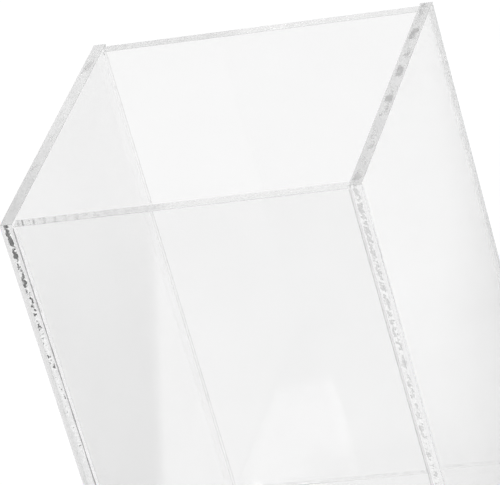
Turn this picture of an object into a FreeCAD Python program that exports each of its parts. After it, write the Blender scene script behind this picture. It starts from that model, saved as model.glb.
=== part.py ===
import FreeCAD, Part
import os

# An open-topped display box glued up from five flat pieces of clear acrylic sheet.
# The two side walls run the full depth, the front and back walls are butted in
# between them, and all four stand on the base. Every glued face has a thin line of
# set cement, which also makes a small bead in the inside corner.
# Millimetres. +Z is up, -Y is the front, and the origin is the middle of the underside.

# Driving dimensions
WIDTH = 127.0          # outside, left to right
DEPTH = 127.0          # outside, front to back
INSIDE_HEIGHT = 190.5  # from the base's upper face to the rim of the side walls
WALL_SHEET = 4.5       # sheet that the four walls are cut from
BASE_SHEET = 4.5       # sheet that the base is cut from
RIM_STEP = 1.0         # how far the front and back rims lie below the side rims
BOND = 0.1             # thickness of the cement line between two glued faces
BEAD = 0.3             # leg of the cement bead in an inside corner
BEAD_HOLLOW = 0.38     # share of each leg at the middle of the bead's hollow face
ARRIS = 0.2            # break on the outer edges, where a hand meets the sheet

# Places that follow from them
OUT_X = WIDTH / 2
OUT_Y = DEPTH / 2
IN_X = OUT_X - WALL_SHEET
IN_Y = OUT_Y - WALL_SHEET
BASE_TOP = BASE_SHEET
WALL_FOOT = BASE_TOP + BOND
SIDE_RIM = BASE_TOP + INSIDE_HEIGHT
FRONT_RIM = SIDE_RIM - RIM_STEP

SIDES = {"left": -1, "right": 1}
FACES = {"front": -1, "back": 1}
NEAR = 1e-6


def block(low, high):
    """A box between two opposite corners, given in either order."""
    start = [min(a, b) for a, b in zip(low, high)]
    size = [abs(a - b) for a, b in zip(low, high)]
    return Part.makeBox(*size, FreeCAD.Vector(*start))


def break_edges(solid, wanted):
    """Take the sharpness off each edge whose middle satisfies the test."""
    edges = [edge for edge in solid.Edges if wanted(edge.CenterOfMass)]
    return solid.makeChamfer(ARRIS, edges)


def prism(outline, along):
    """Close a list of edges into a face and push it along a vector."""
    return Part.Face(Part.Wire(Part.__sortEdges__(outline))).extrude(along)


def bead(corner, first, second, first_leg, second_leg, along):
    """Cement drawn into an inside corner: two flat legs and a hollow face.

    A straight face would pass half a leg from each wall. The arc passes nearer than
    that, but not as near as an arc that meets both walls tangentially.
    """
    tip_a = corner + first * first_leg
    tip_b = corner + second * second_leg
    hollow = corner + first * (first_leg * BEAD_HOLLOW) + second * (second_leg * BEAD_HOLLOW)
    outline = [
        Part.LineSegment(corner, tip_a).toShape(),
        Part.Arc(tip_a, hollow, tip_b).toShape(),
        Part.LineSegment(tip_b, corner).toShape(),
    ]
    return prism(outline, along)


def base_panel():
    """The floor of the box, as wide and deep as the walls that stand on it."""
    plate = block((-OUT_X, -OUT_Y, 0), (OUT_X, OUT_Y, BASE_TOP))
    return break_edges(plate, lambda middle: middle.z < BASE_TOP - NEAR)


def side_wall(side):
    """A full-depth wall: its front and back ends show at the corners."""
    wall = block((side * OUT_X, -OUT_Y, WALL_FOOT), (side * IN_X, OUT_Y, SIDE_RIM))

    def exposed(middle):
        on_rim = middle.z > SIDE_RIM - NEAR
        outer_corner = abs(middle.x) > OUT_X - NEAR and abs(middle.y) > OUT_Y - NEAR
        return on_rim or outer_corner

    return break_edges(wall, exposed)


def cross_wall(face):
    """The front or back wall, butted between the side walls."""
    reach = IN_X - BOND
    wall = block((-reach, face * OUT_Y, WALL_FOOT), (reach, face * IN_Y, FRONT_RIM))

    def exposed(middle):
        return middle.z > FRONT_RIM - NEAR and abs(middle.x) < reach - NEAR

    return break_edges(wall, exposed)


def side_base_seam(side):
    """Cement under a side wall, with its bead along the floor inside."""
    film = block((side * OUT_X, -OUT_Y, BASE_TOP), (side * IN_X, OUT_Y, WALL_FOOT))
    film = break_edges(
        film, lambda middle: abs(middle.x) > OUT_X - NEAR and abs(middle.y) > OUT_Y - NEAR
    )
    corner = FreeCAD.Vector(side * IN_X, -IN_Y, BASE_TOP)
    inward = FreeCAD.Vector(-side, 0, 0)
    run = FreeCAD.Vector(0, 2 * IN_Y, 0)
    up = FreeCAD.Vector(0, 0, 1)
    return film.fuse(bead(corner, inward, up, BEAD, BOND + BEAD, run)).removeSplitter()


def cross_base_seam(face):
    """Cement under the front or back wall, with its bead along the floor inside."""
    film = block((-IN_X, face * OUT_Y, BASE_TOP), (IN_X, face * IN_Y, WALL_FOOT))
    corner = FreeCAD.Vector(-IN_X, face * IN_Y, BASE_TOP)
    inward = FreeCAD.Vector(0, -face, 0)
    run = FreeCAD.Vector(2 * IN_X, 0, 0)
    up = FreeCAD.Vector(0, 0, 1)
    return film.fuse(bead(corner, inward, up, BEAD, BOND + BEAD, run)).removeSplitter()


def corner_seam(side, face):
    """Cement in an upright corner, with its bead inside, up to the lower rim."""
    reach = IN_X - BOND
    film = block((side * IN_X, face * OUT_Y, WALL_FOOT), (side * reach, face * IN_Y, FRONT_RIM))
    corner = FreeCAD.Vector(side * IN_X, face * IN_Y, WALL_FOOT)
    across = FreeCAD.Vector(-side, 0, 0)
    inward = FreeCAD.Vector(0, -face, 0)
    run = FreeCAD.Vector(0, 0, FRONT_RIM - WALL_FOOT)
    return film.fuse(bead(corner, across, inward, BOND + BEAD, BEAD, run)).removeSplitter()


def build():
    """Make every piece. Beads that meet in a corner are coped, one against the next."""
    parts = {"base_panel": base_panel()}
    for name, side in SIDES.items():
        parts[f"{name}_wall"] = side_wall(side)
    for name, face in FACES.items():
        parts[f"{name}_wall"] = cross_wall(face)
    cross_seams = {f"base_seam_{name}": cross_base_seam(face) for name, face in FACES.items()}
    side_seams = {
        f"base_seam_{name}": side_base_seam(side).cut(list(cross_seams.values()))
        for name, side in SIDES.items()
    }
    floor_cement = list(cross_seams.values()) + list(side_seams.values())
    parts.update(cross_seams)
    parts.update(side_seams)
    for face_name, face in FACES.items():
        for side_name, side in SIDES.items():
            seam = corner_seam(side, face).cut(floor_cement)
            parts[f"corner_seam_{face_name}_{side_name}"] = seam
    return parts


def main():
    os.makedirs("parts", exist_ok=True)
    for name, shape in build().items():
        shape.exportStep(f"parts/{name}.step")
        volume = sum(solid.Volume for solid in shape.Solids)
        print(f"{name}: {len(shape.Solids)} solid, {volume:.1f} mm3, valid {shape.isValid()}")


main()
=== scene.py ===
"""Open-topped display box glued up from clear acrylic sheet, in a plain white studio.

Every sheet and every line of set cement is a mesh of its own, worked out with numpy on
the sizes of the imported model. Metres, +Z up, -Y the front.
"""

import logging
import math
from dataclasses import dataclass
from enum import Enum
from typing import ClassVar

import bpy
import numpy as np
from mathutils import Matrix, Vector


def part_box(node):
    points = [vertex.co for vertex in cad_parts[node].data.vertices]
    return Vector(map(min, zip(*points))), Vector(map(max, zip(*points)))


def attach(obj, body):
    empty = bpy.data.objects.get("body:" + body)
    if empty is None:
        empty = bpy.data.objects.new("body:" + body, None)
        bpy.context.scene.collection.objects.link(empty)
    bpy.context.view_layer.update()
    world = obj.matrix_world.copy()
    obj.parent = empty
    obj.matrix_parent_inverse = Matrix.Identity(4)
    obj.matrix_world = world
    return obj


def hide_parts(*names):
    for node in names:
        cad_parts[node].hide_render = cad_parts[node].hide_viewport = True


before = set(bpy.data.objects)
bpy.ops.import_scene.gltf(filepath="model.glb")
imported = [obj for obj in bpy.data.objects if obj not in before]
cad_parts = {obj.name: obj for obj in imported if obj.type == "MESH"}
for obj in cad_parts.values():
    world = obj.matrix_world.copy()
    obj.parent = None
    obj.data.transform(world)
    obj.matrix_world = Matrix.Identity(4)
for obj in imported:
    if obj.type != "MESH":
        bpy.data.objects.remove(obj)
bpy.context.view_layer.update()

LOG = logging.getLogger("display_box")
MM = 0.001
ACRYLIC_IOR = 1.49
# Where a rounding's lattice lines lie, as shares of its radius from the edge: 1 - tan of
# 45, 33.75, 22.5, 11.25 and 0 degrees.
ROUND_STEPS = 1 - np.tan(np.radians(np.linspace(45.0, 0.0, 5)))


class Side(Enum):
    """The six sides of a sheet, as (axis, end), where end 1 is the high one."""

    LEFT = (0, 0)
    RIGHT = (0, 1)
    FRONT = (1, 0)
    BACK = (1, 1)
    UNDER = (2, 0)
    TOP = (2, 1)


# ---------------------------------------------------------------- sizes


@dataclass(frozen=True)
class BoxPlan:
    """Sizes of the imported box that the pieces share, in metres.

    Args:
        out_x: the middle to a side wall's outer face.
        out_y: the middle to a cross wall's outer face.
        in_x: the middle to a side wall's inner face.
        in_y: the middle to a cross wall's inner face.
        reach: the middle to a cross wall's end.
        base_top: the top of the base.
        foot: the underside of the walls.
        side_rim: the height of the side walls' rims.
        cross_rim: the height of the cross walls' rims.
        bead: the most that a leg of the bead measures.
    """

    out_x: float
    out_y: float
    in_x: float
    in_y: float
    reach: float
    base_top: float
    foot: float
    side_rim: float
    cross_rim: float
    bead: float

    @classmethod
    def from_frame(cls) -> "BoxPlan":
        """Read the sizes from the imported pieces' boxes.

        Returns:
            The plan, symmetrical about both upright planes.
        """
        wall_low, wall_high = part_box("right_wall")
        cross_low, cross_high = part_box("back_wall")
        seam_low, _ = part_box("corner_seam_back_right")
        return cls(
            out_x=wall_high.x,
            out_y=wall_high.y,
            in_x=wall_low.x,
            in_y=cross_low.y,
            reach=cross_high.x,
            base_top=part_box("base_panel")[1].z,
            foot=wall_low.z,
            side_rim=wall_high.z,
            cross_rim=cross_high.z,
            bead=cross_low.y - seam_low.y,
        )


# ---------------------------------------------------------------- shader helpers


Socket = bpy.types.NodeSocket


def grey(level: float) -> tuple[float, float, float, float]:
    """An opaque grey of one level, from 0 to 1."""
    return (level, level, level, 1.0)


class NodeBuilder:
    """Places and links nodes in one node tree."""

    def __init__(self, tree: bpy.types.NodeTree) -> None:
        """Keep the tree that the nodes go in."""
        self.tree = tree

    def node(self, kind: str, **settings: object) -> bpy.types.Node:
        """Add a node and set its plain attributes.

        Args:
            kind: Blender's name for the node type.
            settings: attributes of the node, such as operation.

        Returns:
            The new node.
        """
        made = self.tree.nodes.new(kind)
        for name, value in settings.items():
            setattr(made, name, value)
        return made

    def feed(self, socket: Socket, value: object) -> None:
        """Fill an input.

        Args:
            socket: the input.
            value: an output socket to link, or a plain value.
        """
        if isinstance(value, Socket):
            self.tree.links.new(value, socket)
        else:
            socket.default_value = value

    def math(self, operation: str, first: object, second: object = 0.0, clamp: bool = False) -> Socket:
        """Work out one sum.

        Args:
            operation: the Math node's operation.
            first: its first value, a number or a socket.
            second: its second value.
            clamp: whether the result is held between 0 and 1.

        Returns:
            The result.
        """
        made = self.node("ShaderNodeMath", operation=operation, use_clamp=clamp)
        self.feed(made.inputs[0], first)
        self.feed(made.inputs[1], second)
        return made.outputs[0]

    def stretch(self, place: Socket, factors: object) -> Socket:
        """Multiply a place by a factor along each axis.

        Args:
            place: the place.
            factors: three numbers, or a socket that holds them.

        Returns:
            The stretched place.
        """
        made = self.node("ShaderNodeVectorMath", operation="MULTIPLY")
        self.feed(made.inputs[0], place)
        self.feed(made.inputs[1], factors)
        return made.outputs[0]

    def split(self, place: Socket) -> bpy.types.bpy_prop_collection:
        """Take a place apart.

        Args:
            place: the place.

        Returns:
            Its X, Y and Z sockets.
        """
        made = self.node("ShaderNodeSeparateXYZ")
        self.feed(made.inputs[0], place)
        return made.outputs

    def noise(self, place: Socket, scale: float, detail: float = 2.0, rough: float = 0.5) -> Socket:
        """Read a Noise texture, with values from about 0.2 to 0.8.

        Args:
            place: where it is read.
            scale: how many cells go in one unit of the place.
            detail: how many finer layers are added.
            rough: how strong each finer layer is.

        Returns:
            The noise.
        """
        made = self.node("ShaderNodeTexNoise")
        self.feed(made.inputs["Vector"], place)
        made.inputs["Scale"].default_value = scale
        made.inputs["Detail"].default_value = detail
        made.inputs["Roughness"].default_value = rough
        return made.outputs["Fac"]

    def smooth(self, value: object, start: float, end: float) -> Socket:
        """Make a soft step.

        Args:
            value: what is compared.
            start: the value up to which the step is 0.
            end: the value from which it is 1. It may be the lower one.

        Returns:
            The step.
        """
        made = self.node("ShaderNodeMapRange", interpolation_type="SMOOTHSTEP", clamp=True)
        self.feed(made.inputs["Value"], value)
        made.inputs["From Min"].default_value = start
        made.inputs["From Max"].default_value = end
        return made.outputs["Result"]

    def blend(self, factor: object, low: object, high: object, how: str = "MIX") -> Socket:
        """Mix two colours.

        Args:
            factor: 0 for the first colour, 1 for the second or for the full effect.
            low: the first colour, as a grey level or a socket.
            high: the second colour, likewise.
            how: the Mix node's blend type.

        Returns:
            The mixed colour.
        """
        made = self.node("ShaderNodeMix", data_type="RGBA", blend_type=how)
        self.feed(made.inputs[0], factor)
        for socket, tone in ((made.inputs[6], low), (made.inputs[7], high)):
            self.feed(socket, tone if isinstance(tone, Socket) else grey(tone))
        return made.outputs[2]

    def ray(self, answer: str) -> Socket:
        """Read one of the Light Path's answers, such as Is Camera Ray."""
        return self.node("ShaderNodeLightPath").outputs[answer]

    def show(self, output: str, *shaders: Socket) -> None:
        """Show shaders at the tree's output.

        Args:
            output: the output node's name.
            shaders: the first shader, then a factor and a shader for each that covers it.
        """
        shown = shaders[0]
        for factor, shader in zip(shaders[1::2], shaders[2::2]):
            mix = self.node("ShaderNodeMixShader")
            for socket, value in zip(mix.inputs, (factor, shown, shader)):
                self.feed(socket, value)
            shown = mix.outputs[0]
        self.feed(self.tree.nodes[output].inputs["Surface"], shown)


def group_tree(name: str, inputs: dict[str, tuple], outputs: dict[str, str]) -> bpy.types.NodeTree:
    """Start a shader node group with its sockets.

    Args:
        name: the group's name.
        inputs: socket name to (kind, default value).
        outputs: socket name to kind.

    Returns:
        The group, with its Group Input and Group Output nodes placed.
    """
    kinds = {"value": "NodeSocketFloat", "vector": "NodeSocketVector", "colour": "NodeSocketColor"}
    tree = bpy.data.node_groups.new(name, "ShaderNodeTree")
    for label, (kind, default) in inputs.items():
        socket = tree.interface.new_socket(label, in_out="INPUT", socket_type=kinds[kind])
        socket.default_value = default
    for label, kind in outputs.items():
        tree.interface.new_socket(label, in_out="OUTPUT", socket_type=kinds[kind])
    tree.nodes.new("NodeGroupInput")
    tree.nodes.new("NodeGroupOutput")
    return tree


def handling_group() -> bpy.types.NodeTree:
    """Build the faint wipe marks and dust that a handled sheet carries.

    Roughness is Amount times a stretched noise and fine dust spots, in millimetres.

    Returns:
        The group.
    """
    tree = group_tree(
        "handling",
        {"Place": ("vector", (0, 0, 0)), "Amount": ("value", 0.02)},
        {"Roughness": "value"},
    )
    build = NodeBuilder(tree)
    entry, leave = tree.nodes["Group Input"], tree.nodes["Group Output"]
    wipe = build.stretch(entry.outputs["Place"], (0.02, 0.02, 0.11))
    streak = build.smooth(build.noise(wipe, scale=1.0, detail=3.0), start=0.5, end=0.75)
    dust = build.smooth(build.noise(entry.outputs["Place"], scale=1.3, detail=1.0), start=0.74, end=0.8)
    worn = build.math("ADD", build.math("MULTIPLY", streak, 0.6), dust)
    rough = build.math("MULTIPLY", worn, entry.outputs["Amount"], clamp=True)
    build.feed(leave.inputs["Roughness"], rough)
    return tree


def cutter_group() -> bpy.types.NodeTree:
    """Build the height of the fine ripple that a cutter leaves across an edge.

    Two noises, one stretched across the edge's thickness and one even, are added.

    Returns:
        The group.
    """
    tree = group_tree(
        "cutter_ripple",
        {"Place": ("vector", (0, 0, 0)), "Stretch": ("vector", (1, 1, 1))},
        {"Height": "value"},
    )
    build = NodeBuilder(tree)
    entry, leave = tree.nodes["Group Input"], tree.nodes["Group Output"]
    along = build.stretch(entry.outputs["Place"], entry.outputs["Stretch"])
    ripple = build.noise(along, scale=1.0, detail=4.0, rough=0.6)
    grain = build.noise(entry.outputs["Place"], scale=2.2, detail=3.0, rough=0.6)
    total = build.math("ADD", ripple, build.math("MULTIPLY", grain, 0.35))
    build.feed(leave.inputs["Height"], total)
    return tree


def blemish_group() -> bpy.types.NodeTree:
    """Build chipped patches and fine drag lines in a band along an edge, as two masks.

    U runs across the band, from -1 to 1 at its borders, and V along it in millimetres.
    Patch and line fields are noises over (U, V). Each is compared with a threshold that
    rises towards the borders, by U to the fourth power, and with the given Fade.

    Returns:
        The group.
    """
    tree = group_tree(
        "edge_blemish",
        {
            "U": ("value", 0.0),
            "V": ("value", 0.0),
            "Slant": ("value", 0.0),
            "Length": ("value", 5.0),
            "Fill": ("value", 0.5),
            "Ragged": ("value", 0.4),
            "Soft": ("value", 0.05),
            "Fade": ("value", 0.0),
            "Seed": ("value", 0.0),
        },
        {"Patch": "value", "Line": "value"},
    )
    build = NodeBuilder(tree)
    entry, leave = tree.nodes["Group Input"], tree.nodes["Group Output"]
    across = entry.outputs["U"]
    slid = build.math("ADD", entry.outputs["V"],
                      build.math("MULTIPLY", across, entry.outputs["Slant"]))
    square = build.math("MULTIPLY", across, across)
    border = build.math("MULTIPLY", build.math("MULTIPLY", square, square), 0.45)
    held = build.math("ADD", border, entry.outputs["Fade"])

    def field(along: Socket, u_scale: float, detail: float) -> Socket:
        """One noise over the band."""
        place = build.node("ShaderNodeCombineXYZ")
        build.feed(place.inputs[0], build.math("MULTIPLY", across, u_scale))
        build.feed(place.inputs[1], along)
        build.feed(place.inputs[2], entry.outputs["Seed"])
        return build.noise(place.outputs[0], scale=1.0, detail=detail, rough=0.6)

    wide = field(build.math("DIVIDE", slid, entry.outputs["Length"]), u_scale=0.35, detail=1.0)
    torn = field(build.math("MULTIPLY", slid, 0.9), u_scale=1.3, detail=4.0)
    ragged = entry.outputs["Ragged"]
    calm = build.math("SUBTRACT", 1.0, ragged)
    coarse = build.math("ADD", build.math("MULTIPLY", wide, calm), build.math("MULTIPLY", torn, ragged))
    level = build.math("SUBTRACT", build.math("ADD", coarse, entry.outputs["Fill"]), held)
    excess = build.math("DIVIDE", build.math("SUBTRACT", level, 1.0), entry.outputs["Soft"])
    build.feed(leave.inputs["Patch"], build.smooth(excess, 0.0, 1.0))
    fine = field(build.math("MULTIPLY", slid, 1.5), u_scale=0.8, detail=2.0)
    ridge = build.math("ABSOLUTE", build.math("SUBTRACT", fine, 0.5))
    near = build.smooth(build.math("SUBTRACT", level, ridge), 0.84, 0.93)
    build.feed(leave.inputs["Line"], near)
    return tree


class Groups:
    """The node groups that materials share, each built once."""

    def __init__(self) -> None:
        """Build every group."""
        self.handling = handling_group()
        self.cutter = cutter_group()
        self.blemish = blemish_group()


# ---------------------------------------------------------------- finishes


Started = tuple[bpy.types.Material, NodeBuilder, bpy.types.Node, Socket]


def start_material(name: str, unit: float = MM) -> Started:
    """Start a node material.

    Args:
        name: the material's name.
        unit: the length that places are counted in, in metres.

    Returns:
        The material, a builder for its tree, its Principled node and the place socket.
    """
    material = bpy.data.materials.new(name)
    material.use_nodes = True
    build = NodeBuilder(material.node_tree)
    shader = material.node_tree.nodes["Principled BSDF"]
    coords = build.node("ShaderNodeTexCoord")
    scale = build.node("ShaderNodeVectorMath", operation="SCALE")
    build.feed(scale.inputs[0], coords.outputs["Object"])
    scale.inputs["Scale"].default_value = 1.0 / unit
    return material, build, shader, scale.outputs[0]


def start_clear(name: str, ior: float) -> Started:
    """Start a clear material.

    Args:
        name: the material's name.
        ior: its refractive index, where 1 leaves light unbent.

    Returns:
        What start_material returns, with the place in millimetres.
    """
    started = start_material(name)
    shader = started[2]
    shader.inputs["Transmission Weight"].default_value = 1.0
    shader.inputs["IOR"].default_value = ior
    return started


def let_lamps_through(build: NodeBuilder, shader: bpy.types.Node, share: float) -> None:
    """Let part of the lamps' light pass, as it does through clear sheet.

    Args:
        build: the material's builder.
        shader: its Principled node.
        share: how much light one face lets through.
    """
    clear = build.node("ShaderNodeBsdfTransparent")
    clear.inputs["Color"].default_value = grey(share)
    build.show("Material Output", shader.outputs[0], build.ray("Is Shadow Ray"), clear.outputs[0])


@dataclass(frozen=True)
class PolishedSheet:
    """The factory face of clear cast acrylic, with faint traces of handling."""

    tint: float = 0.965
    tint_range: float = 0.01
    wear: float = 0.03
    lamp_share: float = 0.98

    def material(self, groups: Groups) -> bpy.types.Material:
        """Build the material.

        Args:
            groups: the shared node groups.

        Returns:
            The faces' material.
        """
        made, build, shader, place = start_clear("polished_acrylic", ACRYLIC_IOR)
        cloud = build.smooth(build.noise(place, scale=0.03), start=0.3, end=0.7)
        tone = build.blend(cloud, self.tint, self.tint + self.tint_range)
        build.feed(shader.inputs["Base Color"], tone)
        handled = build.node("ShaderNodeGroup", node_tree=groups.handling)
        build.feed(handled.inputs["Place"], place)
        handled.inputs["Amount"].default_value = self.wear
        build.feed(shader.inputs["Roughness"], handled.outputs["Roughness"])
        let_lamps_through(build, shader, self.lamp_share)
        return made


@dataclass(frozen=True)
class GluedFace:
    """A face that is wetted by cement all over, so that light crosses it unbent."""

    clear: float = 0.99
    mottled: float = 0.93
    lamp_share: float = 0.97

    def material(self) -> bpy.types.Material:
        """Build the material.

        Returns:
            The glued faces' material.
        """
        made, build, shader, place = start_clear("glued_acrylic", 1.0)
        shader.inputs["Roughness"].default_value = 0.0
        mottle = build.smooth(build.noise(place, scale=0.4, detail=3.0), start=0.35, end=0.65)
        build.feed(shader.inputs["Base Color"], build.blend(mottle, self.mottled, self.clear))
        let_lamps_through(build, shader, self.lamp_share)
        return made


@dataclass(frozen=True)
class Blemish:
    """A band of chips along a machined edge. Lengths are in millimetres.

    Args:
        along: the axis that the band runs along.
        across: the axis across it.
        middle: the band's middle line, where it starts.
        drift: how far the middle moves for each millimetre from the start.
        half: half of the band's width.
        start: where along the axis the band starts.
        reach: how far the chips go on before they have faded.
        slant: how far a chip's inner end is from its outer end, along the edge.
        length: the usual spacing of chips.
        fill: how much of the band the chips take, around 0.5.
        ragged: the share of fine tearing in the chips' outline.
        soft: how gradually a chip's outline comes in.
        fade: how strongly the chips thin out over the reach.
        seed: picks one arrangement of chips.
    """

    along: int
    across: int
    middle: float
    start: float
    reach: float
    drift: float = 0.0
    half: float = 1.0
    slant: float = 0.0
    length: float = 5.0
    fill: float = 0.5
    ragged: float = 0.4
    soft: float = 0.05
    fade: float = 0.12
    seed: float = 0.0

    def masks(self, build: NodeBuilder, groups: Groups, place: Socket) -> tuple[Socket, Socket]:
        """Place the blemish group for this band.

        Args:
            build: the material's builder.
            groups: the shared node groups.
            place: the place in millimetres.

        Returns:
            The patch and line masks.
        """
        axes = build.split(place)
        run = build.math("SUBTRACT", self.start, axes[self.along])
        centre = build.math("ADD", build.math("MULTIPLY", run, self.drift), self.middle)
        offset = build.math("SUBTRACT", axes[self.across], centre)
        used = build.math("DIVIDE", run, self.reach)
        band = build.node("ShaderNodeGroup", node_tree=groups.blemish)
        build.feed(band.inputs["U"], build.math("DIVIDE", offset, self.half))
        build.feed(band.inputs["V"], axes[self.along])
        build.feed(band.inputs["Fade"], build.math("MULTIPLY", used, self.fade))
        for name, value in (("Slant", self.slant), ("Length", self.length),
                            ("Fill", self.fill), ("Ragged", self.ragged),
                            ("Soft", self.soft), ("Seed", self.seed)):
            band.inputs[name].default_value = value
        return band.outputs["Patch"], band.outputs["Line"]


@dataclass(frozen=True)
class CutEdge:
    """A machined and part-polished edge of the sheet, with or without chips and painted shade.

    Args:
        name: the material's name.
        blemish: the band of chips, if there is one.
        pale: the tone of the clean edge.
        bright: the tone of the fine drag lines.
        dark: the tone of the chips.
        rough: the clean edge's roughness.
        chip_rough: what a chip adds to it.
        painted_front_shade: the tone of the painted shade towards the box's front, or 0 for no painted
            shade.
        grain_along: the axis along which the cutter's ripple is close set.
    """

    name: str
    blemish: Blemish | None = None
    pale: float = 0.86
    bright: float = 0.98
    dark: float = 0.05
    rough: float = 0.12
    chip_rough: float = 0.3
    painted_front_shade: float = 0.0
    grain_along: int = 2
    cloudy: float = 0.95
    ripple: float = 0.09
    ripple_height: float = 0.05 * MM
    lamp_share: float = 0.7

    def material(self, groups: Groups) -> bpy.types.Material:
        """Build the material.

        Args:
            groups: the shared node groups.

        Returns:
            The edge's material.
        """
        made, build, shader, place = start_clear(self.name, ACRYLIC_IOR)
        cloud = build.smooth(build.noise(place, scale=0.35, detail=3.0), start=0.35, end=0.7)
        tone = build.blend(cloud, self.pale, self.pale * self.cloudy)
        rough = self.rough
        if self.blemish is not None:
            patch, line = self.blemish.masks(build, groups, place)
            tone = build.blend(line, tone, self.bright)
            tone = build.blend(patch, tone, self.dark)
            rough = build.math("ADD", build.math("MULTIPLY", patch, self.chip_rough), self.rough)
        # Painted shade: the edge is darker towards the box's front.
        if self.painted_front_shade:
            forward = build.smooth(build.split(place)[1], start=20.0, end=-60.0)
            tone = build.blend(build.math("MULTIPLY", forward, 0.85), tone, self.painted_front_shade)
        build.feed(shader.inputs["Base Color"], tone)
        build.feed(shader.inputs["Roughness"], rough)
        build.feed(shader.inputs["Normal"], self.cutter_marks(build, groups, place))
        let_lamps_through(build, shader, self.lamp_share)
        return made

    def cutter_marks(self, build: NodeBuilder, groups: Groups, place: Socket) -> Socket:
        """Ripple the surface as a cutter does.

        Args:
            build: the material's builder.
            groups: the shared node groups.
            place: the place in millimetres.

        Returns:
            The rippled normal.
        """
        marks = build.node("ShaderNodeGroup", node_tree=groups.cutter)
        build.feed(marks.inputs["Place"], place)
        stretch = [0.25, 0.25, 0.25]
        stretch[self.grain_along] = 1.1
        marks.inputs["Stretch"].default_value = stretch
        bump = build.node("ShaderNodeBump")
        bump.inputs["Strength"].default_value = self.ripple
        bump.inputs["Distance"].default_value = self.ripple_height
        build.feed(bump.inputs["Height"], marks.outputs["Height"])
        return bump.outputs["Normal"]


@dataclass(frozen=True)
class SetCement:
    """Set solvent cement: clear, with grey patches of trapped air here and there."""

    name: str
    ior: float
    clear: float
    dark: float
    rough: float = 0.0
    air_rough: float = 0.3
    lamp_share: float = 0.9

    def material(self) -> bpy.types.Material:
        """Build the material.

        Returns:
            The cement's material.
        """
        made, build, shader, place = start_clear(self.name, self.ior)
        air = build.smooth(build.noise(place, scale=0.22, detail=4.0, rough=0.6), start=0.6, end=0.72)
        build.feed(shader.inputs["Base Color"], build.blend(air, self.clear, self.dark))
        haze = build.math("MULTIPLY", air, self.air_rough)
        build.feed(shader.inputs["Roughness"], build.math("ADD", haze, self.rough))
        let_lamps_through(build, shader, self.lamp_share)
        return made


# ---------------------------------------------------------------- sheets


def new_piece(name: str, points: np.ndarray, polygons: list, slots: np.ndarray,
              smooth: np.ndarray, materials: list,
              nodes: tuple) -> bpy.types.Object:
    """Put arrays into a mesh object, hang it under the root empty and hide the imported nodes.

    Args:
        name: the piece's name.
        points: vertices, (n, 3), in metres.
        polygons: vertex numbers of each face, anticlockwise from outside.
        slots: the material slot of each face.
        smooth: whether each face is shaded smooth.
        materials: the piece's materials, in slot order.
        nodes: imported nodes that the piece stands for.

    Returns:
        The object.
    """
    mesh = bpy.data.meshes.new(name)
    mesh.from_pydata(points, [], polygons)
    mesh.polygons.foreach_set("material_index", slots.astype(np.int32))
    mesh.polygons.foreach_set("use_smooth", smooth.astype(bool))
    for material in materials:
        mesh.materials.append(material)
    mesh.update()
    piece = bpy.data.objects.new(name, mesh)
    bpy.context.scene.collection.objects.link(piece)
    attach(piece, "root")
    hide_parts(*nodes)
    LOG.info("%s: %d points, %d faces", name, len(points), len(polygons))
    return piece


def spread(low: float, high: float, step: float, stops: tuple = ()) -> np.ndarray:
    """Space places evenly, and put the stops among them.

    Args:
        low: the first place.
        high: the last place.
        step: about how far apart they are.
        stops: places that are wanted exactly, and that push near ones out.

    Returns:
        The places, in order.
    """
    even = np.linspace(low, high, max(2, round((high - low) / step) + 1))
    places = np.unique(np.round(np.concatenate([even, np.asarray(stops, float)]), 9))
    fixed = np.round(np.asarray([low, high, *stops], float), 9)
    nearest = np.abs(places[:, None] - fixed).min(axis=1)
    return places[(nearest < 1e-9) | (nearest > step * 0.3)]


class SheetSlot(Enum):
    """Material slots of a sheet."""

    POLISHED = 0
    GLUED = 1
    RIM = 2
    FRONT_END = 3
    BACK_END = 4


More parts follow.
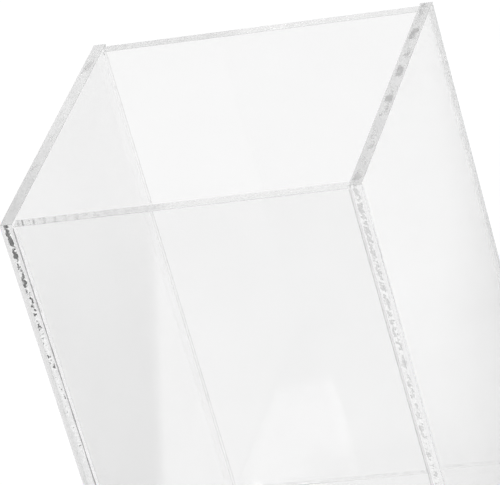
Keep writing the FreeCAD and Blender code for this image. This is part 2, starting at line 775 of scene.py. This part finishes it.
@dataclass
class Sheet:
    """A flat piece cut from acrylic sheet, as a box with its outer edges rounded over.

    A lattice is laid over the box's six sides. Each lattice point p has a core point q,
    the nearest point of the box drawn in by the radius on each rounded side. The point
    goes to q + (p - q) * min(1, radius / |p - q|), so flat sides stay where they are and
    edges between rounded sides turn into quarter rounds. Along Z the radius is smaller by
    the flatness, so that a rim's edges are eased less than the upright ones.

    Args:
        node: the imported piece.
        plan: the box's sizes.
        materials: the finishes, in the order of SheetSlot.
        radius: the radius of the rounding.
        flatness: the share of the radius that holds along Z.
        step: about how far apart the lattice's points are.
        rounded: the sides that are drawn in.
        stops: places along X, Y and Z that the lattice has to meet.
        side_slots: the slot of each side that isn't polished.
    """

    node: str
    plan: BoxPlan
    materials: list
    radius: float = 0.18 * MM
    flatness: float = 0.25
    step: float = 1.6 * MM
    rounded: tuple = (Side.FRONT, Side.BACK, Side.LEFT, Side.RIGHT, Side.TOP)
    stops: tuple = ((), (), ())
    side_slots: ClassVar[dict[Side, SheetSlot]] = {}

    def corners(self) -> tuple[np.ndarray, np.ndarray]:
        """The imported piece's lowest and highest corners."""
        low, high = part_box(self.node)
        return np.array(low), np.array(high)

    def drawn(self, axis: int) -> float:
        """How far the box is drawn in along an axis."""
        return self.radius * (self.flatness if axis == 2 else 1.0)

    def core(self, points: np.ndarray) -> tuple[np.ndarray, np.ndarray]:
        """Draw the box in on its rounded sides.

        Args:
            points: lattice points, (n, 3).

        Returns:
            The drawn-in box's lowest and highest corner for each point.
        """
        low, high = self.corners()
        inner_low = np.tile(low, (len(points), 1))
        inner_high = np.tile(high, (len(points), 1))
        for side in self.rounded:
            axis, end = side.value
            if end:
                inner_high[:, axis] -= self.drawn(axis)
            else:
                inner_low[:, axis] += self.drawn(axis)
        return inner_low, inner_high

    def lattice(self) -> list[np.ndarray]:
        """Space the lattice, with the rounding's own places near each end.

        Returns:
            The places along X, Y and Z.
        """
        low, high = self.corners()
        places = []
        for axis in range(3):
            stops = list(self.stops[axis])
            for edge, inward in ((low[axis], 1), (high[axis], -1)):
                stops += [edge + inward * self.drawn(axis) * share for share in ROUND_STEPS]
            places.append(spread(low[axis], high[axis], self.step, tuple(stops)))
        return places

    def slot_of(self, side: Side, centres: np.ndarray) -> np.ndarray:
        """Choose the material slots on a side.

        Args:
            side: the side.
            centres: the centres of its faces, (n, 3).

        Returns:
            The slot of each face.
        """
        plain = self.side_slots.get(side, SheetSlot.POLISHED)
        glued = self.glued(side, centres)
        return np.where(glued, SheetSlot.GLUED.value, plain.value).astype(np.int32)

    def glued(self, side: Side, centres: np.ndarray) -> np.ndarray:
        """Tell which faces of a partly glued side are glued. A plain sheet has none."""
        return np.zeros(len(centres), bool)

    def build(self) -> bpy.types.Object:
        """Lay the lattice over the box, round it and make the piece.

        Returns:
            The piece.
        """
        places = self.lattice()
        counts = [len(p) for p in places]
        quads, slots, sides = [], [], []
        for side in Side:
            axis, end = side.value
            b, c = (axis + 1) % 3, (axis + 2) % 3
            first, second = np.meshgrid(np.arange(counts[b] - 1), np.arange(counts[c] - 1),
                                        indexing="ij")
            first, second = first.ravel(), second.ravel()
            ring = [(0, 0), (1, 0), (1, 1), (0, 1)]
            if end == 0:
                ring = ring[::-1]
            index = np.zeros((len(first), 4, 3), np.int64)
            index[:, :, axis] = (counts[axis] - 1) * end
            for corner, (db, dc) in enumerate(ring):
                index[:, corner, b] = first + db
                index[:, corner, c] = second + dc
            flat = (index[..., 0] * counts[1] + index[..., 1]) * counts[2] + index[..., 2]
            centres = np.stack([places[a][index[..., a]].mean(axis=1) for a in range(3)], axis=1)
            quads.append(flat)
            slots.append(self.slot_of(side, centres))
            sides.append(np.full(len(flat), axis))
        quads = np.concatenate(quads)
        used, compact = np.unique(quads, return_inverse=True)
        polygons = compact.reshape(quads.shape)
        i, rest = np.divmod(used, counts[1] * counts[2])
        j, k = np.divmod(rest, counts[2])
        points = np.stack([places[0][i], places[1][j], places[2][k]], axis=1)
        inner_low, inner_high = self.core(points)
        nearest = np.clip(points, inner_low, inner_high)
        out = points - nearest
        length = np.linalg.norm(out / np.array([1.0, 1.0, self.flatness]), axis=1)
        pull = np.minimum(1.0, self.radius / np.maximum(length, 1e-9))
        moved = nearest + out * pull[:, None]
        shifted = np.linalg.norm(moved - points, axis=1) > 1e-7
        smooth = shifted[polygons].any(axis=1)
        return new_piece(
            f"{self.node}_sheet", moved, polygons.tolist(), np.concatenate(slots), smooth,
            self.materials, (self.node,),
        )


@dataclass
class SideWall(Sheet):
    """A full-depth wall, with both ends in view at the box's corners."""

    hand: int = 1
    side_slots: ClassVar[dict[Side, SheetSlot]] = {
        Side.UNDER: SheetSlot.GLUED,
        Side.TOP: SheetSlot.RIM,
        Side.FRONT: SheetSlot.FRONT_END,
        Side.BACK: SheetSlot.BACK_END,
    }

    def __post_init__(self) -> None:
        """Stop the lattice where the cross walls are glued."""
        self.stops = ((), (-self.plan.in_y, self.plan.in_y), (self.plan.cross_rim,))

    def glued(self, side: Side, centres: np.ndarray) -> np.ndarray:
        """The inner face is glued at both ends, up to the cross walls' rims."""
        inner = side is (Side.LEFT if self.hand > 0 else Side.RIGHT)
        ends = np.abs(centres[:, 1]) > self.plan.in_y
        return inner & ends & (centres[:, 2] < self.plan.cross_rim)


@dataclass
class CrossWall(Sheet):
    """The front or back wall, glued in between the side walls."""

    hand: int = 1
    side_slots: ClassVar[dict[Side, SheetSlot]] = {
        Side.UNDER: SheetSlot.GLUED,
        Side.LEFT: SheetSlot.GLUED,
        Side.RIGHT: SheetSlot.GLUED,
        Side.TOP: SheetSlot.RIM,
    }

    def core(self, points: np.ndarray) -> tuple[np.ndarray, np.ndarray]:
        """Leave the inner upright edges square: the inner face draws in only at the rim.

        Args:
            points: lattice points, (n, 3).

        Returns:
            The drawn-in box's lowest and highest corner for each point.
        """
        low, high = self.corners()
        inner_low, inner_high = super().core(points)
        below = points[:, 2] < high[2] - self.drawn(2) * 1.001
        if self.hand > 0:
            inner_low[below, 1] = low[1]
        else:
            inner_high[below, 1] = high[1]
        return inner_low, inner_high


@dataclass
class BasePanel(Sheet):
    """The floor of the box, under all four walls."""

    side_slots: ClassVar[dict[Side, SheetSlot]] = dict.fromkeys(
        (Side.LEFT, Side.RIGHT, Side.FRONT, Side.BACK), SheetSlot.RIM)

    def __post_init__(self) -> None:
        """Round the lower edges and corners, and stop the lattice where walls stand."""
        self.rounded = (Side.FRONT, Side.BACK, Side.LEFT, Side.RIGHT, Side.UNDER)
        self.stops = ((-self.plan.in_x, self.plan.in_x), (-self.plan.in_y, self.plan.in_y), ())

    def glued(self, side: Side, centres: np.ndarray) -> np.ndarray:
        """The top is glued where the walls stand."""
        under = (np.abs(centres[:, :2]) > (self.plan.in_x, self.plan.in_y)).any(axis=1)
        return (side is Side.TOP) & under


# ---------------------------------------------------------------- cement


def ring_faces(rows: int, count: int, turned: bool) -> tuple[np.ndarray, np.ndarray]:
    """Work out the faces of a closed tube made of rings of points.

    Args:
        rows: how many rings there are.
        count: how many points a ring has.
        turned: whether the rings run clockwise, seen from the last one.

    Returns:
        The four-sided faces along the tube, and the two end faces.
    """
    row, k = np.meshgrid(np.arange(rows - 1), np.arange(count), indexing="ij")
    a = (row * count + k).ravel()
    b = (row * count + (k + 1) % count).ravel()
    quads = np.stack([a, b, b + count, a + count], axis=1)
    ring = np.arange(count)
    caps = np.stack([ring[::-1], (rows - 1) * count + ring])
    return (quads[:, ::-1], caps[:, ::-1]) if turned else (quads, caps)


@dataclass
class CementSeam:
    """A line of set cement: a thin film between two faces and a bead in the inside corner.

    The bead is a profile carried along a straight path. The profile has two flat legs and
    a hollow arc between their tips. Its size swells and thins along the path by a sum of
    three sines, with phases drawn from the seam's own seed.

    Args:
        node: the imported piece.
        film_low: the film's lowest corner.
        film_high: its highest corner.
        corner: the inside corner where the bead starts.
        first: the direction of the bead's first leg.
        second: the direction of its second leg.
        run: the bead's path, from its start to its end.
        leg: the most that a leg may measure.
        seed: picks one pattern of swells.
        materials: the finishes of film, bead and, where there is one, groove.
        groove_half: half of the outer groove's usual width, or 0 for no groove.
    """

    node: str
    film_low: np.ndarray
    film_high: np.ndarray
    corner: np.ndarray
    first: np.ndarray
    second: np.ndarray
    run: np.ndarray
    leg: float
    seed: int
    materials: list
    groove_half: float = 0.0
    groove_deep: float = 0.11 * MM
    groove_rows: int = 160
    groove_end: float = 0.5 * MM
    clearance: float = 0.012 * MM
    usual: float = 0.5
    swell: float = 0.07
    hollow: float = 0.6
    arc_points: int = 7
    step: float = 1.5 * MM

    def film(self) -> tuple[np.ndarray, np.ndarray, np.ndarray]:
        """Make the film, a box drawn in from the sheets by a clearance.

        Returns:
            Its points and faces, and no end faces.
        """
        low = self.film_low + self.clearance
        high = self.film_high - self.clearance
        pick = np.array([[0, 0, 0], [1, 0, 0], [1, 1, 0], [0, 1, 0],
                         [0, 0, 1], [1, 0, 1], [1, 1, 1], [0, 1, 1]])
        quads = np.array([[0, 3, 2, 1], [4, 5, 6, 7], [0, 1, 5, 4],
                          [1, 2, 6, 5], [2, 3, 7, 6], [3, 0, 4, 7]])
        return np.where(pick == 1, high, low), quads, quads[:0]

    def bead(self) -> tuple[np.ndarray, np.ndarray, np.ndarray]:
        """Make the bead.

        Returns:
            Its points, the faces along it and its two end faces.
        """
        length = float(np.linalg.norm(self.run))
        rows = max(2, round(length / self.step))
        along = np.linspace(0.0, 1.0, rows)
        rng = np.random.default_rng(self.seed)
        waves = sum(
            np.sin(2 * math.pi * (along * length / wave + rng.random()))
            for wave in (41 * MM, 17 * MM, 7.3 * MM)
        )
        size = self.leg * (self.usual + self.swell * waves)
        turn = np.linspace(0.0, math.pi / 2, self.arc_points)
        arc = np.stack([1 - np.sin(turn), 1 - np.cos(turn)], axis=1)
        chord = np.stack([1 - turn / (math.pi / 2), turn / (math.pi / 2)], axis=1)
        face = self.hollow * arc + (1 - self.hollow) * chord
        profile = np.concatenate([[[0.0, 0.0]], face])
        start = self.corner + (self.first + self.second) * self.clearance
        offsets = profile[:, 0:1] * self.first + profile[:, 1:2] * self.second
        points = start + along[:, None, None] * self.run + size[:, None, None] * offsets
        turned = np.dot(np.cross(self.first, self.second), self.run) < 0
        return points.reshape(-1, 3), *ring_faces(rows, len(profile), turned)

    def groove(self) -> tuple[np.ndarray, np.ndarray, np.ndarray]:
        """Make the squeezed-out cement in the outer corner, a wedge along Z.

        Its section is a triangle with the wide side outwards. The half width at a height
        is groove_half * (1 + 0.18 * the sum of two sines).

        Returns:
            Its points, the faces along it and its two end faces.
        """
        rows = self.groove_rows
        along = np.linspace(self.film_low[2] + self.groove_end,
                            self.film_high[2] - self.groove_end, rows)
        rng = np.random.default_rng(self.seed + 100)
        waver = sum(np.sin(2 * math.pi * (along / wave + rng.random())) for wave in (23 * MM, 9 * MM))
        half = self.groove_half * (1 + 0.18 * waver)
        side = math.copysign(1.0, self.corner[1])
        outer = side * (np.abs([self.film_low[1], self.film_high[1]]).max() - 2 * self.clearance)
        middle = (self.film_low[0] + self.film_high[0]) / 2
        points = np.empty((rows, 3, 3))
        points[:, :, 2] = along[:, None]
        points[:, 0, 0] = middle - half
        points[:, 1, 0] = middle + half
        points[:, 2, 0] = middle
        points[:, :2, 1] = outer
        points[:, 2, 1] = outer - side * self.groove_deep
        return points.reshape(-1, 3), *ring_faces(rows, 3, side > 0)

    def build(self) -> bpy.types.Object:
        """Join the film, the bead and the squeezed-out cement into one piece.

        Returns:
            The piece.
        """
        parts = [self.film(), self.bead()]
        if self.groove_half:
            parts.append(self.groove())
        points, faces, slots = np.empty((0, 3)), [], []
        for slot, (part_points, quads, caps) in enumerate(parts):
            faces += (quads + len(points)).tolist() + (caps + len(points)).tolist()
            slots += [slot] * (len(quads) + len(caps))
            points = np.concatenate([points, part_points])
        slots = np.array(slots)
        return new_piece(
            f"{self.node}_cement", points, faces, slots, slots == 1,
            self.materials, (self.node,),
        )


# ---------------------------------------------------------------- assembly


@dataclass
class DisplayBox:
    """The whole box: five sheets and eight lines of cement."""

    plan: BoxPlan
    groups: Groups
    front_groove: float = 0.2 * MM
    back_groove: float = 0.1 * MM
    first_seed: int = 11

    def chips(self) -> dict[str, Blemish]:
        """Lay out the chips on the side walls' front ends and rims.

        Returns:
            The bands of chips, by edge.
        """
        middle = (self.plan.out_x + self.plan.in_x) / 2 / MM
        rim = self.plan.side_rim / MM
        back = self.plan.out_y / MM
        return {
            "left_end": Blemish(
                along=2, across=0, middle=0.05 - middle, start=rim - 1.0, reach=75, drift=0.014,
                half=1.35, slant=-0.5, length=5.5, fill=0.575, ragged=0.6, fade=0.13, seed=3.0,
            ),
            "right_end": Blemish(
                along=2, across=0, middle=middle, start=rim - 3.0, reach=90, half=1.5,
                slant=0.8, length=4.0, fill=0.57, ragged=0.7, fade=0.05, seed=8.0,
            ),
            "left_rim": Blemish(
                along=1, across=0, middle=-middle, start=back, reach=130, half=2.2,
                length=14.0, fill=0.55, ragged=0.2, soft=0.3, fade=0.0, seed=6.0,
            ),
            "right_rim": Blemish(
                along=1, across=0, middle=middle, start=back, reach=130, half=2.2,
                length=9.0, fill=0.55, ragged=0.3, soft=0.16, fade=0.0, seed=5.0,
            ),
        }

    def finishes(self) -> dict[str, list]:
        """Build the materials that the pieces share.

        Returns:
            The materials of each kind of piece, in slot order.
        """
        chips = self.chips()
        edges = {
            "plain": CutEdge("cut_edge_plain", pale=0.99, grain_along=0),
            "left_end": CutEdge("cut_edge_left_front", chips["left_end"], pale=0.7, dark=0.04, rough=0.03),
            "right_end": CutEdge("cut_edge_right_front", chips["right_end"], pale=0.88, dark=0.5,
                                 rough=0.03, chip_rough=0.1),
            # The rims carry painted shade, darker towards the box's front.
            "left_rim": CutEdge("cut_edge_left_rim", chips["left_rim"], pale=0.99, bright=0.99,
                                dark=0.89, painted_front_shade=0.58, grain_along=1),
            "right_rim": CutEdge("cut_edge_right_rim", chips["right_rim"], pale=0.84, bright=0.84,
                                 dark=0.62, painted_front_shade=0.72, grain_along=1),
        }
        cements = {
            "film": SetCement("cement_film", ior=1.0, clear=0.98, dark=0.8),
            "bead": SetCement("cement_bead", ior=ACRYLIC_IOR, clear=0.98, dark=0.8),
            "dull": SetCement("cement_groove_left", ior=1.1, clear=0.5, dark=0.3, rough=0.3),
            "clear": SetCement("cement_groove_right", ior=1.2, clear=0.86, dark=0.7, rough=0.2),
        }
        faces = [PolishedSheet().material(self.groups), GluedFace().material()]
        edge = {name: finish.material(self.groups) for name, finish in edges.items()}
        cement = {name: finish.material() for name, finish in cements.items()}
        inside = [cement["film"], cement["bead"]]
        return {
            "left": [*faces, edge["left_rim"], edge["left_end"], edge["plain"]],
            "right": [*faces, edge["right_rim"], edge["right_end"], edge["plain"]],
            "cross": [*faces, *[edge["plain"]] * 3],
            "dull_seam": [*inside, cement["dull"]],
            "clear_seam": [*inside, cement["clear"]],
            "base_seam": inside,
        }

    def seams(self, looks: dict[str, list]) -> list[CementSeam]:
        """Work out the eight seams from the plan.

        Args:
            looks: the materials of each kind of piece.

        Returns:
            The seams, upright ones first.
        """
        p = self.plan
        up = np.array([0.0, 0.0, 1.0])
        made = []

        def add(name: str, film: list, corner: list, first: list, second: object,
                run: object, look: str, groove_half: float = 0.0) -> None:
            """Add one seam, whose film lies between two opposite corners."""
            ends = np.array(film)
            made.append(CementSeam(
                name, ends.min(axis=0), ends.max(axis=0), np.array(corner), np.array(first),
                np.array(second), np.array(run), p.bead, self.first_seed + len(made), looks[look],
                groove_half=groove_half,
            ))

        for face_name, face in (("front", -1), ("back", 1)):
            for side_name, side in (("left", -1), ("right", 1)):
                add(
                    f"corner_seam_{face_name}_{side_name}",
                    film=[[side * p.in_x, face * p.out_y, p.foot],
                          [side * p.reach, face * p.in_y, p.cross_rim]],
                    corner=[side * p.reach, face * p.in_y, p.foot + p.bead],
                    first=[-side, 0.0, 0.0], second=[0.0, -face, 0.0],
                    run=up * (p.cross_rim - p.foot - p.bead),
                    look="dull_seam" if side < 0 and face < 0 else "clear_seam",
                    groove_half=self.front_groove if face < 0 else self.back_groove,
                )
        for name, face in (("front", -1), ("back", 1)):
            add(
                f"base_seam_{name}",
                film=[[-p.in_x, face * p.out_y, p.base_top], [p.in_x, face * p.in_y, p.foot]],
                corner=[p.bead - p.in_x, face * p.in_y, p.base_top],
                first=[0.0, -face, 0.0], second=up,
                run=[2 * (p.in_x - p.bead), 0.0, 0.0], look="base_seam",
            )
        for name, side in (("left", -1), ("right", 1)):
            add(
                f"base_seam_{name}",
                film=[[side * p.out_x, -p.out_y, p.base_top], [side * p.in_x, p.out_y, p.foot]],
                corner=[side * p.in_x, p.bead - p.in_y, p.base_top],
                first=[-side, 0.0, 0.0], second=up,
                run=[0.0, 2 * (p.in_y - p.bead), 0.0], look="base_seam",
            )
        return made

    def build(self) -> None:
        """Make every piece in order: side walls, cross walls, base, cement."""
        looks = self.finishes()
        SideWall("left_wall", self.plan, looks["left"], hand=-1).build()
        SideWall("right_wall", self.plan, looks["right"], hand=1).build()
        CrossWall("front_wall", self.plan, looks["cross"], hand=-1).build()
        CrossWall("back_wall", self.plan, looks["cross"], hand=1).build()
        BasePanel("base_panel", self.plan, looks["cross"]).build()
        for seam in self.seams(looks):
            seam.build()


# ---------------------------------------------------------------- studio


def lay_surface(name: str, points: np.ndarray, material: bpy.types.Material) -> bpy.types.Object:
    """Make a studio surface, which is no part of the box.

    Args:
        name: the surface's name.
        points: rows of points, (rows, columns, 3), in metres.
        material: its material.

    Returns:
        The surface.
    """
    rows, columns = points.shape[:2]
    i, j = np.meshgrid(np.arange(rows - 1), np.arange(columns - 1), indexing="ij")
    first = (i * columns + j).ravel()
    faces = np.stack([first, first + columns, first + columns + 1, first + 1], axis=1)
    mesh = bpy.data.meshes.new(name)
    mesh.from_pydata(points.reshape(-1, 3), [], faces.tolist())
    mesh.materials.append(material)
    made = bpy.data.objects.new(name, mesh)
    bpy.context.scene.collection.objects.link(made)
    return made


@dataclass(frozen=True)
class Studio:
    """A white paper floor with painted shade, a soft lamp, an even surround, a glowing card for a painted
    reflection and the camera.

    Angles are in degrees. The lamp's and the screen's bearings are counted to the left of
    straight in front. Spans in widths are measured from the middle of the box.

    Args:
        width: the box's width.
        height: the height of its rim.
        camera_in_widths: the camera's place from the middle of the rim.
        surround: the grey that lights the scene.
        mirror_level: the grey that is mirrored.
        behind_glass: the backdrop's level through glass.
        paper_white: the floor's own level in plain view.
        paper_shares: how much of that shows in plain view, and how much more through glass.
        painted_shadow_edge: half of the soft border of the box's painted shadow on the floor.
        painted_shadow_levels: the floor's level in the painted shadow, near the box and far behind it.
        painted_shadow_span: where those two levels are reached, in widths behind the middle.
        painted_shadow_right: how much paler the painted shadow is to the right.
        painted_shadow_fade: where it turns paler, in widths from its left border.
        front_shade: the floor's level far in front, a painted shade.
        front_span: where that painted shade ends and full white begins, in widths.
        screen_span: the screen's left and right end, from its bearing line.
        screen_fade: the heights on the screen between which it fades out.
    """

    width: float
    height: float
    azimuth: float = 20.71
    elevation: float = 27.55
    roll: float = -16.30
    lens: float = 300.744
    sensor: float = 36.0
    camera_in_widths: tuple = (3.560, -9.483, 4.877)
    surround: float = 0.36
    mirror_level: float = 0.65
    behind_glass: float = 0.985
    paper_low: tuple = (-2.5, -1.2)
    paper_high: tuple = (2.5, 4.0)
    paper_drop: float = 0.2 * MM
    paper_white: float = 1.04
    paper_shares: tuple = (0.86, 0.12)
    painted_shadow_edge: float = 1.8 * MM
    painted_shadow_levels: tuple = (0.42, 0.72)
    painted_shadow_span: tuple = (0.6, 2.3)
    painted_shadow_right: float = 0.4
    painted_shadow_fade: tuple = (0.64, 1.02)
    front_shade: float = 0.5
    front_span: tuple = (-1.3, 1.0)
    # A glowing card for a painted reflection, seen only in mirrors.
    screen_azimuth: float = 17.0
    screen_low: float = 29.68
    screen_from: tuple = (-0.38, -0.05)
    screen_distance: float = 0.575
    screen_span: tuple = (-0.1, -0.012)
    screen_tall: float = 0.2
    screen_fade: tuple = (0.03, 0.1)
    reflection_card_glow: float = 5.5
    lamp_watts: float = 270.0
    lamp_size: float = 0.6
    lamp_distance: float = 4.0
    lamp_azimuth: float = 15.3
    lamp_elevation: float = 36.0
    all_bounces: int = 128
    clear_bounces: int = 96
    shadow_bounces: int = 64

    def camera(self) -> None:
        """Place the camera on its bearing from the middle of the rim."""
        azimuth, elevation, roll = (
            math.radians(v) for v in (self.azimuth, self.elevation, self.roll)
        )
        back = Vector((
            math.sin(azimuth) * math.cos(elevation),
            -math.cos(azimuth) * math.cos(elevation),
            math.sin(elevation),
        ))
        level = Vector((math.cos(azimuth), math.sin(azimuth), 0.0))
        right = math.cos(roll) * level + math.sin(roll) * back.cross(level)
        up = back.cross(right)
        x, y, z = (self.width * share for share in self.camera_in_widths)
        place = Vector((x, y, z + self.height))
        data = bpy.data.cameras.new("camera")
        data.sensor_width = self.sensor
        data.lens = self.lens
        data.clip_end = 20.0
        camera = bpy.data.objects.new("camera", data)
        bpy.context.scene.collection.objects.link(camera)
        turn = Matrix((right, up, back)).transposed().to_4x4()
        camera.matrix_world = Matrix.Translation(place) @ turn
        bpy.context.scene.camera = camera

    def paper(self) -> None:
        """Lay the floor: a flat sheet that reaches far behind and a little in front."""
        x, y = np.meshgrid(*np.linspace(self.paper_low, self.paper_high, 21).T, indexing="ij")
        points = np.stack([x, y, np.full_like(x, -self.paper_drop)], axis=-1)
        lay_surface("paper_floor", points, self.paper_material())

    def paper_material(self) -> bpy.types.Material:
        """Make white paper that shows as the background, and still holds a faint shadow and the painted
        shade.

        Returns:
            The floor's material.
        """
        made, build, shader, place = start_material("white_paper", unit=1.0)
        shader.inputs["Roughness"].default_value = 0.95
        shader.inputs["Specular IOR Level"].default_value = 0.0
        white = build.blend(build.noise(place, scale=60.0, detail=4.0), 0.8, 0.84)
        # The paper's colour is multiplied by painted shade: a painted shadow of the box behind it, and
        # darker paper in front.
        tone = build.blend(1.0, white, self.painted_floor_shade(build, place), how="MULTIPLY")
        build.feed(shader.inputs["Base Color"], tone)
        glow = build.node("ShaderNodeEmission")
        build.feed(glow.inputs["Strength"], self.backdrop_level(build, self.paper_white))
        plain, more = self.paper_shares
        share = build.math("ADD", build.math("MULTIPLY", build.ray("Is Transmission Ray"), more), plain)
        seen = build.math("MULTIPLY", self.seen_straight(build), share)
        build.show("Material Output", shader.outputs[0], seen, glow.outputs[0])
        return made

    def painted_floor_shade(self, build: NodeBuilder, place: Socket) -> Socket:
        """Paint shade on the paper: darker in front of the box, and a painted shadow of the box behind it.

        The painted shadow starts at a line through the front left corner on the lamp's bearing.
        It is deepest just behind the box, and weaker towards the right.

        Args:
            build: the material's builder.
            place: the place in metres.

        Returns:
            The paper's painted shade, from 0 to 1.
        """
        across, away, _ = build.split(place)
        # A painted shadow of the box, on the lamp's bearing from the front left corner, deepest just
        # behind the box.
        half = self.width / 2
        slope = math.tan(math.radians(self.lamp_azimuth))
        beside = build.math("SUBTRACT", across, build.math("MULTIPLY", away, slope))
        past = build.math("ADD", beside, half * (1 - slope))
        edge = build.smooth(past, -self.painted_shadow_edge, self.painted_shadow_edge)
        level = build.node("ShaderNodeMapRange", clamp=True)
        build.feed(level.inputs["Value"], away)
        for name, value in zip(("From Min", "From Max"), self.painted_shadow_span):
            level.inputs[name].default_value = value * self.width
        for name, value in zip(("To Min", "To Max"), self.painted_shadow_levels):
            level.inputs[name].default_value = value
        start, end = (share * self.width for share in self.painted_shadow_fade)
        lift = build.math("MULTIPLY", build.smooth(past, start, end), self.painted_shadow_right)
        dark = build.math("SUBTRACT", 1.0, build.math("ADD", level.outputs["Result"], lift), True)
        dark = build.math("MULTIPLY", dark, build.smooth(away, 0.3 * half, half))
        painted_shadow = build.math("SUBTRACT", 1.0, build.math("MULTIPLY", dark, edge))
        # Painted shade on the paper in front of the box.
        start, end = (share * self.width for share in self.front_span)
        ahead = build.smooth(away, start, end)
        front = build.math("ADD", build.math("MULTIPLY", ahead, 1 - self.front_shade), self.front_shade)
        return build.math("MULTIPLY", painted_shadow, front)

    def backdrop_level(self, build: NodeBuilder, plain_level: float) -> Socket:
        """Set the backdrop's level, which is another through glass.

        Args:
            build: the material's or the world's builder.
            plain_level: the level in plain view.

        Returns:
            The level.
        """
        change = self.behind_glass - plain_level
        drop = build.math("MULTIPLY", build.ray("Is Transmission Ray"), change)
        return build.math("ADD", drop, plain_level)

    def seen_straight(self, build: NodeBuilder) -> Socket:
        """Tell a plain view from a single mirror's.

        Args:
            build: the material's or the world's builder.

        Returns:
            1 in plain view, straight through glass or piped along it, 0 in a single mirror.
        """
        seen = build.math("MAXIMUM", build.ray("Is Camera Ray"), build.ray("Is Transmission Ray"))
        turns = build.math("SUBTRACT", build.ray("Glossy Depth"), 1.0)
        clear = build.math("GREATER_THAN", build.math("ABSOLUTE", turns), 0.5)
        return build.math("MULTIPLY", seen, clear)

    def surroundings(self) -> None:
        """Make the world white as the background, and a middle grey as a light or in a mirror."""
        world = bpy.data.worlds.new("surroundings")
        bpy.context.scene.world = world
        world.use_nodes = True
        build = NodeBuilder(world.node_tree)
        lit = world.node_tree.nodes["Background"]
        lit.inputs["Color"].default_value = grey(self.surround)
        mirror, white = build.node("ShaderNodeBackground"), build.node("ShaderNodeBackground")
        mirror.inputs["Color"].default_value = grey(self.mirror_level)
        white.inputs["Color"].default_value = grey(1.0)
        build.feed(white.inputs["Strength"], self.backdrop_level(build, 1.0))
        sharp = build.math("MAXIMUM", build.ray("Is Glossy Ray"), build.ray("Is Transmission Ray"))
        build.show(
            "World Output", lit.outputs[0], sharp, mirror.outputs[0],
            self.seen_straight(build), white.outputs[0],
        )

    def bearing(self, azimuth: float, elevation: float) -> Vector:
        """Point to a place in front of the box.

        Args:
            azimuth: its bearing to the left, in degrees.
            elevation: its height, in degrees.

        Returns:
            The unit vector towards it.
        """
        turn, rise = math.radians(azimuth), math.radians(elevation)
        return Vector((
            -math.sin(turn) * math.cos(rise), -math.cos(turn) * math.cos(rise), math.sin(rise),
        ))

    def lamp(self) -> None:
        """Hang one large soft lamp, in front and a little to the left."""
        data = bpy.data.lights.new("softbox", "AREA")
        data.shape = "SQUARE"
        data.size = self.lamp_size
        data.energy = self.lamp_watts
        lamp = bpy.data.objects.new("softbox", data)
        bpy.context.scene.collection.objects.link(lamp)
        away = self.bearing(self.lamp_azimuth, self.lamp_elevation)
        lamp.location = away * self.lamp_distance
        lamp.rotation_euler = away.to_track_quat("Z", "Y").to_euler()
        lamp.visible_glossy = False
        lamp.visible_transmission = False

    def screen(self) -> None:
        """Stand a bowed glowing card in front, no lamp, seen only where the box mirrors it as a painted
        reflection.
        """
        towards = self.bearing(self.screen_azimuth, self.screen_low)
        x, y = (share * self.width for share in self.screen_from)
        foot = Vector((x, y, 0.0)) + towards * self.screen_distance
        along = Vector((-towards.y, towards.x, 0.0)).normalized()
        u, v = np.meshgrid(np.linspace(*self.screen_span, 9),
                           np.linspace(0.0, self.screen_tall, 9), indexing="ij")
        bow = 0.5 * u ** 2
        points = (np.array(foot) + u[..., None] * np.array(along) - bow[..., None] * np.array(towards)
                  + v[..., None] * np.array([0.0, 0.0, 1.0]))
        made, build, _, place = start_material("glowing_reflection_card", unit=1.0)
        # The card glows though it is no lamp: it lights nothing and only puts a painted reflection in the
        # box.
        glow = build.node("ShaderNodeEmission")
        low, high = self.screen_fade
        faded = build.smooth(build.split(place)[2], foot.z + high, foot.z + low)
        build.feed(glow.inputs["Strength"], build.math("MULTIPLY", faded, self.reflection_card_glow))
        build.show("Material Output", glow.outputs[0])
        screen = lay_surface("screen", points, made)
        screen.visible_camera = False
        screen.visible_diffuse = False
        screen.visible_shadow = False

    def build(self) -> None:
        """Set up the whole studio."""
        self.paper()
        self.surroundings()
        self.lamp()
        self.screen()
        self.camera()
        scene = bpy.context.scene
        scene.view_settings.view_transform = "Standard"
        scene.cycles.max_bounces = self.all_bounces
        scene.cycles.transmission_bounces = self.clear_bounces
        scene.cycles.glossy_bounces = self.clear_bounces
        scene.cycles.transparent_max_bounces = self.shadow_bounces


def main() -> None:
    """Build the box and the studio."""
    logging.basicConfig(level=logging.INFO, format="%(name)s: %(message)s")
    plan = BoxPlan.from_frame()
    DisplayBox(plan, Groups()).build()
    Studio(width=2 * plan.out_x, height=plan.side_rim).build()


if __name__ == "__main__":
    main()
